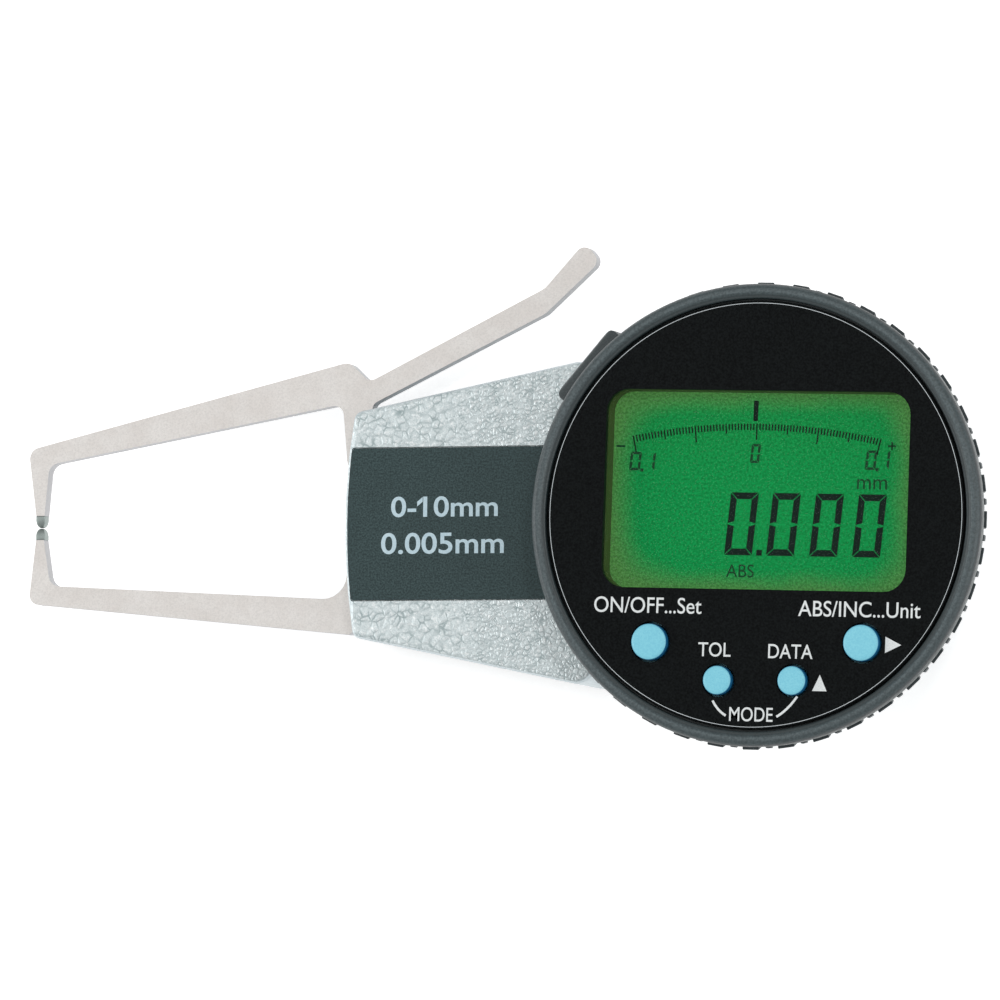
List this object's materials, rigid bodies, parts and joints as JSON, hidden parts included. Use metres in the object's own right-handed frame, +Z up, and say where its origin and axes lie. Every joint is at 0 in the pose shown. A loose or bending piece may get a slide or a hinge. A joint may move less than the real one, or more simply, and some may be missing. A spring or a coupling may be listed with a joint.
{
  "type": "outside caliper gauge",
  "caption": "Hand-held outside gauge: two flat steel arms with small tips, opened by a thumb lever, read on a round turning digital display head.",
  "frame": {"origin": "on the display head's turning axis, at the flat back face the gauge lies on", "axes": "+Z up out of the display, -X towards the measuring tips, +Y towards the side with the thumb lever"},
  "size_m": [0.1338, 0.0667, 0.0269],
  "materials": {
    "hammertone": "silver hammertone enamel",
    "cover_metal": "fine brushed",
    "label": "satin printed film",
    "arm_steel": "satin ground",
    "carbide": "ground carbide",
    "screw_steel": "turned",
    "brass": "machined",
    "spring_steel": "drawn wire and strip",
    "board": "solder mask",
    "case_plastic": "fine grained",
    "bezel_plastic": "satin, fine turned lines",
    "panel": "black printed window",
    "clear_window": "clear gloss",
    "lcd": "lit green display",
    "light_plastic": "moulded light frame",
    "button_blue": "satin",
    "rubber": "matte",
    "flex": "polyimide film"
  },
  "bodies": {
    "housing": {"cover_screw_1": "screw_steel", "cover_screw_2": "screw_steel", "cover_screw_3": "screw_steel", "cover_screw_4": "screw_steel", "encoder_stator": "board", "fixed_arm": "arm_steel", "fixed_arm_screw_1": "screw_steel", "fixed_arm_screw_2": "screw_steel", "fixed_arm_tip": "carbide", "flex_cable": "flex", "housing_shell": "hammertone", "label_plate": "label", "pivot_clip": "spring_steel", "pivot_pin": "screw_steel", "rear_cover": "cover_metal", "retaining_ring": "spring_steel", "return_spring": "spring_steel", "spindle_bearing_front": "screw_steel", "spindle_bearing_rear": "screw_steel", "spring_post": "screw_steel", "stop_pin": "screw_steel"},
    "measuring_arm": {"moving_arm": "arm_steel", "moving_arm_tip": "carbide", "arm_bush": "brass", "sector_gear": "brass", "sector_screw_1": "screw_steel", "sector_screw_2": "screw_steel", "spring_anchor": "screw_steel"},
    "encoder_spindle": {"spindle_pinion": "brass", "encoder_rotor": "cover_metal"},
    "display_head": {"head_case": "case_plastic", "bezel_ring": "bezel_plastic", "face_panel": "panel", "display_window": "clear_window", "display_carrier": "light_plastic", "lcd_glass": "lcd", "backlight": "light_plastic", "contact_strip_left": "rubber", "contact_strip_right": "rubber", "main_board": "board", "coin_battery": "screw_steel", "battery_contact": "brass", "keypad_mat": "rubber", "board_screw_1": "screw_steel", "board_screw_2": "screw_steel", "board_screw_3": "screw_steel", "board_screw_4": "screw_steel", "grip_ring": "case_plastic", "friction_washer": "spring_steel"},
    "port_plug": {"port_cover": "case_plastic"},
    "button_on_off": {"button_on_off": "button_blue"},
    "button_abs_unit": {"button_abs_unit": "button_blue"},
    "button_tol": {"button_tol": "button_blue"},
    "button_data": {"button_data": "button_blue"}
  },
  "joints": [
    {"name": "arm_pivot", "type": "hinge", "parent": "housing", "child": "measuring_arm", "pos_m": [-0.05, 0.004, 0.009], "axis": [0, 0, -1], "range_deg": [0, 10.4], "stiffness_Nm_per_rad": 0.08, "springref_deg": -35.52, "deforming": ["return_spring"]},
    {"name": "encoder_spin", "type": "hinge", "parent": "housing", "child": "encoder_spindle", "pos_m": [0, 0, 0.008], "axis": [0, 0, -1], "range_deg": [-125, 0]},
    {"name": "head_turn", "type": "hinge", "parent": "housing", "child": "display_head", "pos_m": [0, 0, 0.02], "axis": [0, 0, 1], "range_deg": [-135, 135]},
    {"name": "port_cover_pull", "type": "slide", "parent": "display_head", "child": "port_plug", "axis": [-0.7627, 0.6468, 0], "range_m": [0, 0.007]},
    {"name": "button_on_off_press", "type": "slide", "parent": "display_head", "child": "button_on_off", "axis": [0, 0, -1], "range_m": [0, 0.0004], "stiffness_N_per_m": 900, "springref_m": -0.0004},
    {"name": "button_abs_unit_press", "type": "slide", "parent": "display_head", "child": "button_abs_unit", "axis": [0, 0, -1], "range_m": [0, 0.0004], "stiffness_N_per_m": 900, "springref_m": -0.0004},
    {"name": "button_tol_press", "type": "slide", "parent": "display_head", "child": "button_tol", "axis": [0, 0, -1], "range_m": [0, 0.0004], "stiffness_N_per_m": 900, "springref_m": -0.0004},
    {"name": "button_data_press", "type": "slide", "parent": "display_head", "child": "button_data", "axis": [0, 0, -1], "range_m": [0, 0.0004], "stiffness_N_per_m": 900, "springref_m": -0.0004}
  ],
  "couplings": [
    {"joint": "encoder_spin", "follows": "arm_pivot", "ratio": -12}
  ]
}
